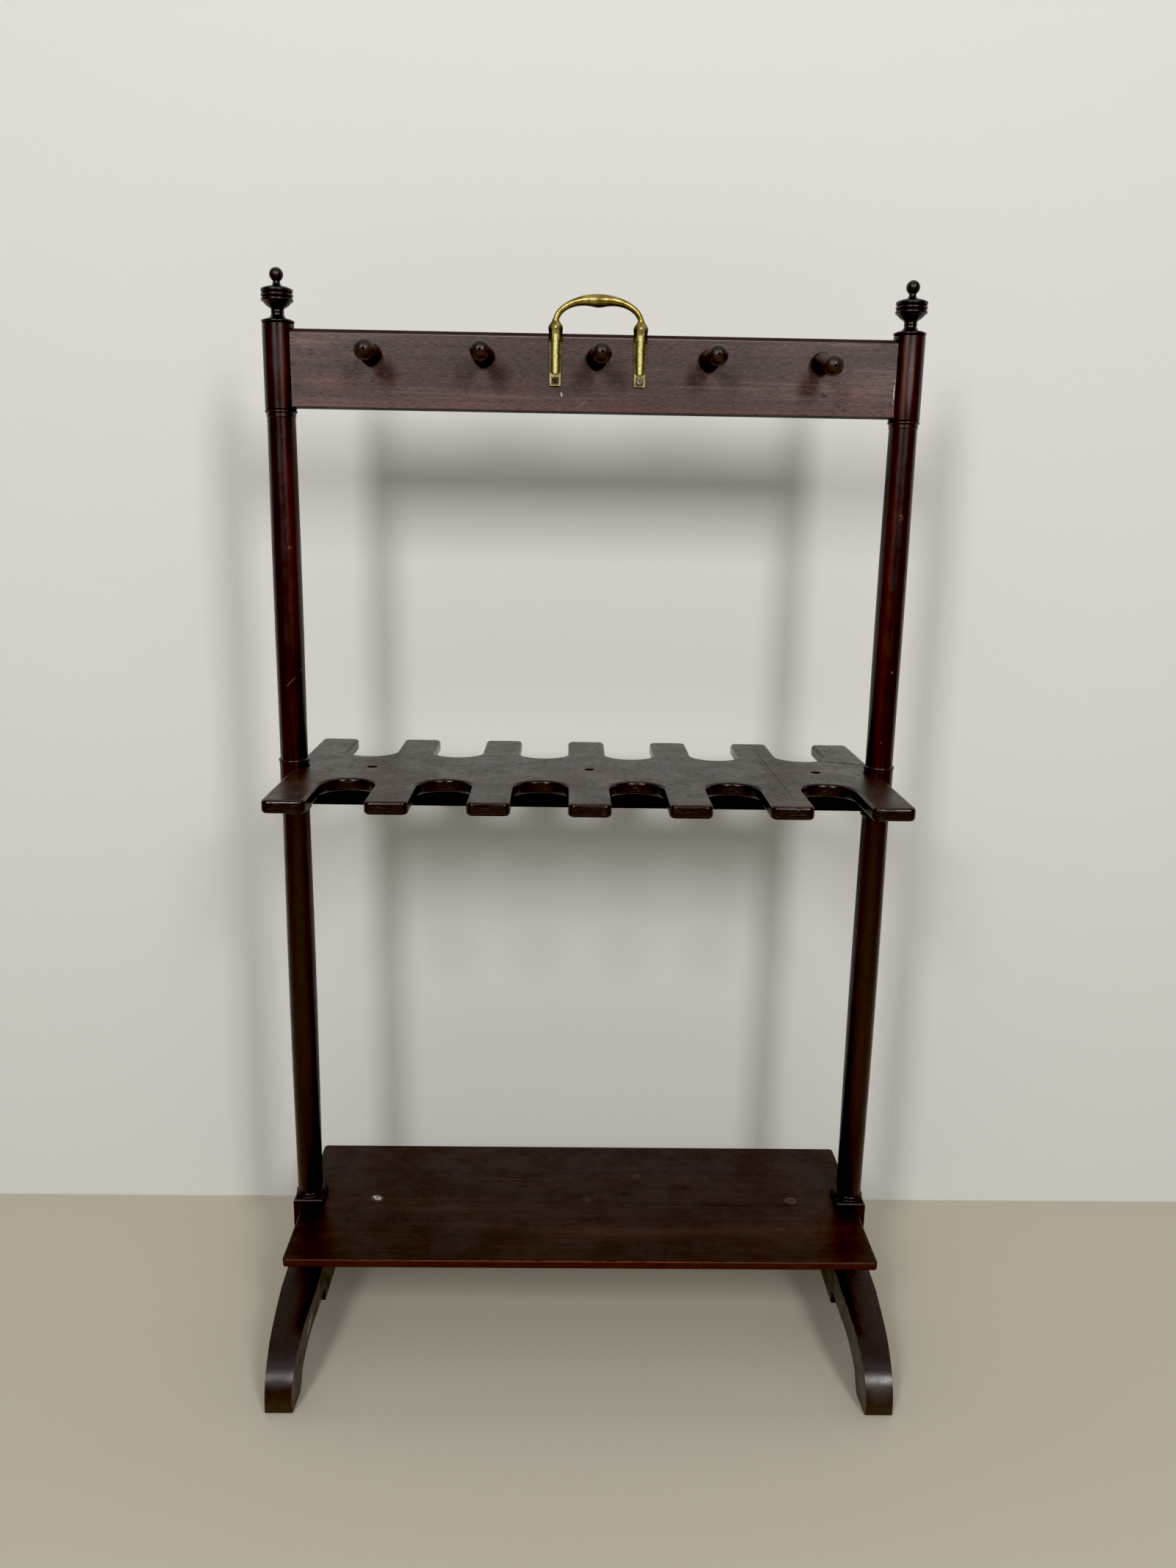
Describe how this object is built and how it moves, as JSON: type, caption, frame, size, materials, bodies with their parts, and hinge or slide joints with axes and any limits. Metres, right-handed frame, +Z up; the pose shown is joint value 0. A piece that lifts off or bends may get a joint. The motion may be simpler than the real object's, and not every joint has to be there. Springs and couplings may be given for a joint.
{
  "type": "boot and whip rack",
  "caption": "Free-standing wooden rack: turned posts on shaped feet, a pegged top rail with a brass carrying handle, a notched comb that holds boots, and a low shelf.",
  "frame": {"origin": "on the floor, midway between the two posts", "axes": "+Z up along the posts; +X to the right along the rail; the front, with the pegs, faces -Y"},
  "size_m": [0.595, 0.334, 1.0259],
  "materials": {
    "post_wood": "dark red-brown french polish, glossy",
    "foot_wood": "very dark polish, scuffed and worn on the arrises",
    "rail_wood": "dull satin polish with horizontal grain",
    "peg_wood": "dark polish, worn on the knobs",
    "comb_wood": "satin top, glossy dark edges",
    "shelf_wood": "dark satin polish",
    "handle_brass": "aged cast brass, dark in the recesses",
    "screw_steel": "darkened old steel"
  },
  "bodies": {
    "root": {"left_post": "post_wood", "right_post": "post_wood", "left_finial": "post_wood", "right_finial": "post_wood", "left_foot": "foot_wood", "right_foot": "foot_wood", "top_rail": "rail_wood", "whip_peg_1": "peg_wood", "whip_peg_2": "peg_wood", "whip_peg_3": "peg_wood", "whip_peg_4": "peg_wood", "whip_peg_5": "peg_wood", "carrying_handle": "handle_brass", "handle_screws": "handle_brass", "boot_comb": "comb_wood", "comb_bearer": "comb_wood", "comb_screws": "screw_steel", "base_shelf": "shelf_wood", "shelf_bearer": "shelf_wood", "shelf_screws": "screw_steel", "shelf_pellets": "shelf_wood"}
  },
  "joints": []
}
